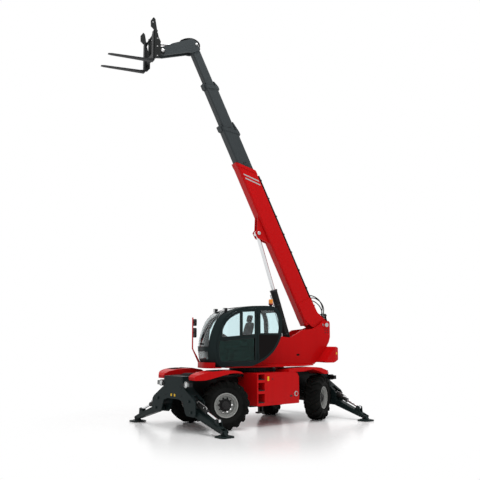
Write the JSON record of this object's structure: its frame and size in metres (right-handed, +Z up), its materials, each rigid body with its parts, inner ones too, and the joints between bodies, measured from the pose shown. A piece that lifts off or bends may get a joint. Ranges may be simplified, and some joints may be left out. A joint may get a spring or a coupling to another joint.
{
  "type": "telehandler",
  "caption": "Slewing telescopic handler on wheels and pivoting stabilisers, with a glazed cab, raised telescopic boom and pallet forks on a tilting carriage.",
  "frame": {"origin": "on the ground, below the middle of the overall box of the machine as stored (boom raised and slewed to the right)", "axes": "+X forward along the chassis, +Y to the machine's left, +Z up"},
  "size_m": [6.89, 4.16, 10.8455],
  "materials": {
    "amber": "clear",
    "chrome": "polished",
    "fork_steel": "satin",
    "glass": "clear",
    "iron": "rough",
    "paint_grey": "satin",
    "paint_red": "gloss",
    "paint_slate": "satin",
    "plastic_black": "matte",
    "rim_grey": "satin",
    "seat": "woven",
    "steel_black": "satin",
    "tyre": "matte"
  },
  "bodies": {
    "chassis": {"chassis_frame": "steel_black", "stabiliser_frames": "paint_slate", "fenders": "paint_red", "side_boxes": "paint_red", "steps": "steel_black", "axles": "steel_black", "slew_ring": "steel_black", "lamps": "plastic_black"},
    "turret": {"turret_frame": "paint_red", "counterweight": "paint_red", "engine_cover": "paint_red", "engine": "iron", "cab_frame": "paint_slate", "cab_glass": "glass", "seat": "seat", "controls": "plastic_black", "cab_trim": "paint_red", "cab_fittings": "plastic_black", "beacon": "amber"},
    "door": {"cab_door": "paint_slate", "door_glass": "glass"},
    "boom": {"boom_base": "paint_red", "boom_pipes": "plastic_black"},
    "boom_2": {"boom_2": "paint_grey"},
    "boom_3": {"boom_3": "paint_grey"},
    "boom_4": {"boom_4": "paint_grey"},
    "carriage": {"carriage": "steel_black", "forks": "fork_steel"},
    "lift_barrel": {"lift_barrel": "steel_black"},
    "lift_rod": {"lift_rod": "chrome"},
    "tilt_barrel": {"tilt_barrel": "steel_black"},
    "tilt_rod": {"tilt_rod": "chrome"},
    "knuckle_fl": {"knuckle_fl": "steel_black"},
    "wheel_fl": {"rim_fl": "rim_grey", "tyre_fl": "tyre"},
    "knuckle_fr": {"knuckle_fr": "steel_black"},
    "wheel_fr": {"rim_fr": "rim_grey", "tyre_fr": "tyre"},
    "knuckle_rl": {"knuckle_rl": "steel_black"},
    "wheel_rl": {"rim_rl": "rim_grey", "tyre_rl": "tyre"},
    "knuckle_rr": {"knuckle_rr": "steel_black"},
    "wheel_rr": {"rim_rr": "rim_grey", "tyre_rr": "tyre"},
    "stab_arm_fl": {"stab_arm_fl": "paint_slate"},
    "stab_barrel_fl": {"stab_barrel_fl": "steel_black"},
    "stab_rod_fl": {"stab_rod_fl": "chrome"},
    "pad_fl": {"pad_fl": "paint_slate"},
    "stab_arm_fr": {"stab_arm_fr": "paint_slate"},
    "stab_barrel_fr": {"stab_barrel_fr": "steel_black"},
    "stab_rod_fr": {"stab_rod_fr": "chrome"},
    "pad_fr": {"pad_fr": "paint_slate"},
    "stab_arm_rl": {"stab_arm_rl": "paint_slate"},
    "stab_barrel_rl": {"stab_barrel_rl": "steel_black"},
    "stab_rod_rl": {"stab_rod_rl": "chrome"},
    "pad_rl": {"pad_rl": "paint_slate"},
    "stab_arm_rr": {"stab_arm_rr": "paint_slate"},
    "stab_barrel_rr": {"stab_barrel_rr": "steel_black"},
    "stab_rod_rr": {"stab_rod_rr": "chrome"},
    "pad_rr": {"pad_rr": "paint_slate"}
  },
  "joints": [
    {"name": "slew", "type": "hinge", "parent": "chassis", "child": "turret", "pos_m": [-0.74, 0, 1.47], "axis": [0, 0, 1], "continuous": true},
    {"name": "boom_lift", "type": "hinge", "parent": "turret", "child": "boom", "pos_m": [-3.03055, 0.41927, 2.6], "axis": [-0.2639, -0.9646, 0], "range_deg": [-66.6, 5.4]},
    {"name": "boom_extend_2", "type": "slide", "parent": "boom", "child": "boom_2", "axis": [0.4137, -0.1132, 0.9033], "range_m": [-0.95, 2.55]},
    {"name": "boom_extend_3", "type": "slide", "parent": "boom_2", "child": "boom_3", "axis": [0.4137, -0.1132, 0.9033], "range_m": [-0.95, 2.55]},
    {"name": "boom_extend_4", "type": "slide", "parent": "boom_3", "child": "boom_4", "axis": [0.4137, -0.1132, 0.9033], "range_m": [-0.95, 2.55]},
    {"name": "carriage_tilt", "type": "hinge", "parent": "boom_4", "child": "carriage", "pos_m": [1.81248, -0.90563, 10.10145], "axis": [0.2639, 0.9646, 0], "range_deg": [-74, 30]},
    {"name": "lift_barrel_swing", "type": "hinge", "parent": "turret", "child": "lift_barrel", "pos_m": [-2.09493, 0.16332, 1.735], "axis": [-0.2639, -0.9646, 0], "range_deg": [-73.37, 6.87]},
    {"name": "lift_rod_stroke", "type": "slide", "parent": "lift_barrel", "child": "lift_rod", "axis": [0.2887, -0.079, 0.9542], "range_m": [-1.4083, 0.1234]},
    {"name": "tilt_barrel_swing", "type": "hinge", "parent": "boom_4", "child": "tilt_barrel", "pos_m": [0.83978, -0.63953, 10.4862], "axis": [0.2639, 0.9646, 0], "range_deg": [-3.1, 6.18]},
    {"name": "tilt_rod_stroke", "type": "slide", "parent": "tilt_barrel", "child": "tilt_rod", "axis": [0.9572, -0.2619, -0.1233], "range_m": [-0.2835, 0.1209]},
    {"name": "cab_door_swing", "type": "hinge", "parent": "turret", "child": "door", "pos_m": [-0.1065, 1.00444, 2.2], "axis": [0, 0, 1], "range_deg": [0, 100]},
    {"name": "steer_fl", "type": "hinge", "parent": "chassis", "child": "knuckle_fl", "pos_m": [0.785, 0.64, 0.6], "axis": [0, 0, 1], "range_deg": [-10, 60]},
    {"name": "wheel_spin_fl", "type": "hinge", "parent": "knuckle_fl", "child": "wheel_fl", "pos_m": [0.89488, 0.87564, 0.6], "axis": [0.4226, 0.9063, 0], "continuous": true},
    {"name": "steer_fr", "type": "hinge", "parent": "chassis", "child": "knuckle_fr", "pos_m": [0.785, -0.64, 0.6], "axis": [0, 0, 1], "range_deg": [-10, 60]},
    {"name": "wheel_spin_fr", "type": "hinge", "parent": "knuckle_fr", "child": "wheel_fr", "pos_m": [0.67512, -0.87564, 0.6], "axis": [0.4226, 0.9063, 0], "continuous": true},
    {"name": "steer_rl", "type": "hinge", "parent": "chassis", "child": "knuckle_rl", "pos_m": [-2.265, 0.64, 0.6], "axis": [0, 0, 1], "range_deg": [-60, 10]},
    {"name": "wheel_spin_rl", "type": "hinge", "parent": "knuckle_rl", "child": "wheel_rl", "pos_m": [-2.37488, 0.87564, 0.6], "axis": [-0.4226, 0.9063, 0], "continuous": true},
    {"name": "steer_rr", "type": "hinge", "parent": "chassis", "child": "knuckle_rr", "pos_m": [-2.265, -0.64, 0.6], "axis": [0, 0, 1], "range_deg": [-60, 10]},
    {"name": "wheel_spin_rr", "type": "hinge", "parent": "knuckle_rr", "child": "wheel_rr", "pos_m": [-2.15512, -0.87564, 0.6], "axis": [-0.4226, 0.9063, 0], "continuous": true},
    {"name": "stabiliser_fl", "type": "hinge", "parent": "chassis", "child": "stab_arm_fl", "pos_m": [1.695, 0.78, 0.465], "axis": [1, 0, 0], "range_deg": [0, 67]},
    {"name": "stab_barrel_swing_fl", "type": "hinge", "parent": "chassis", "child": "stab_barrel_fl", "pos_m": [1.695, 0.69, 0.715], "axis": [1, 0, 0], "range_deg": [-1, 65.31]},
    {"name": "stab_rod_stroke_fl", "type": "slide", "parent": "stab_barrel_fl", "child": "stab_rod_fl", "axis": [0, 0.9348, -0.3552], "range_m": [-0.3002, 0.01]},
    {"name": "pad_swivel_fl", "type": "hinge", "parent": "stab_arm_fl", "child": "pad_fl", "pos_m": [1.695, 1.9, 0.112], "axis": [1, 0, 0], "range_deg": [-15, 15]},
    {"name": "stabiliser_fr", "type": "hinge", "parent": "chassis", "child": "stab_arm_fr", "pos_m": [1.695, -0.78, 0.465], "axis": [-1, 0, 0], "range_deg": [0, 67]},
    {"name": "stab_barrel_swing_fr", "type": "hinge", "parent": "chassis", "child": "stab_barrel_fr", "pos_m": [1.695, -0.69, 0.715], "axis": [-1, 0, 0], "range_deg": [-1, 65.31]},
    {"name": "stab_rod_stroke_fr", "type": "slide", "parent": "stab_barrel_fr", "child": "stab_rod_fr", "axis": [0, -0.9348, -0.3552], "range_m": [-0.3002, 0.01]},
    {"name": "pad_swivel_fr", "type": "hinge", "parent": "stab_arm_fr", "child": "pad_fr", "pos_m": [1.695, -1.9, 0.112], "axis": [-1, 0, 0], "range_deg": [-15, 15]},
    {"name": "stabiliser_rl", "type": "hinge", "parent": "chassis", "child": "stab_arm_rl", "pos_m": [-3.175, 0.78, 0.465], "axis": [1, 0, 0], "range_deg": [0, 67]},
    {"name": "stab_barrel_swing_rl", "type": "hinge", "parent": "chassis", "child": "stab_barrel_rl", "pos_m": [-3.175, 0.69, 0.715], "axis": [1, 0, 0], "range_deg": [-1, 65.31]},
    {"name": "stab_rod_stroke_rl", "type": "slide", "parent": "stab_barrel_rl", "child": "stab_rod_rl", "axis": [0, 0.9348, -0.3552], "range_m": [-0.3002, 0.01]},
    {"name": "pad_swivel_rl", "type": "hinge", "parent": "stab_arm_rl", "child": "pad_rl", "pos_m": [-3.175, 1.9, 0.112], "axis": [1, 0, 0], "range_deg": [-15, 15]},
    {"name": "stabiliser_rr", "type": "hinge", "parent": "chassis", "child": "stab_arm_rr", "pos_m": [-3.175, -0.78, 0.465], "axis": [-1, 0, 0], "range_deg": [0, 67]},
    {"name": "stab_barrel_swing_rr", "type": "hinge", "parent": "chassis", "child": "stab_barrel_rr", "pos_m": [-3.175, -0.69, 0.715], "axis": [-1, 0, 0], "range_deg": [-1, 65.31]},
    {"name": "stab_rod_stroke_rr", "type": "slide", "parent": "stab_barrel_rr", "child": "stab_rod_rr", "axis": [0, -0.9348, -0.3552], "range_m": [-0.3002, 0.01]},
    {"name": "pad_swivel_rr", "type": "hinge", "parent": "stab_arm_rr", "child": "pad_rr", "pos_m": [-3.175, -1.9, 0.112], "axis": [-1, 0, 0], "range_deg": [-15, 15]}
  ],
  "couplings": [
    {"joint": "boom_extend_3", "follows": "boom_extend_2", "ratio": 1},
    {"joint": "boom_extend_4", "follows": "boom_extend_2", "ratio": 1},
    {"joint": "lift_barrel_swing", "follows": "boom_lift", "ratio": 1.0867},
    {"joint": "lift_rod_stroke", "follows": "boom_lift", "m_per_rad": 1.203},
    {"joint": "tilt_barrel_swing", "follows": "carriage_tilt", "ratio": -0.07},
    {"joint": "tilt_rod_stroke", "follows": "carriage_tilt", "m_per_rad": 0.2118},
    {"joint": "steer_fr", "follows": "steer_fl", "ratio": 1},
    {"joint": "steer_rr", "follows": "steer_rl", "ratio": 1},
    {"joint": "stab_barrel_swing_fl", "follows": "stabiliser_fl", "ratio": 0.95983},
    {"joint": "stab_rod_stroke_fl", "follows": "stabiliser_fl", "m_per_rad": -0.24817},
    {"joint": "stab_barrel_swing_fr", "follows": "stabiliser_fr", "ratio": 0.95983},
    {"joint": "stab_rod_stroke_fr", "follows": "stabiliser_fr", "m_per_rad": -0.24817},
    {"joint": "stab_barrel_swing_rl", "follows": "stabiliser_rl", "ratio": 0.95983},
    {"joint": "stab_rod_stroke_rl", "follows": "stabiliser_rl", "m_per_rad": -0.24817},
    {"joint": "stab_barrel_swing_rr", "follows": "stabiliser_rr", "ratio": 0.95983},
    {"joint": "stab_rod_stroke_rr", "follows": "stabiliser_rr", "m_per_rad": -0.24817}
  ]
}
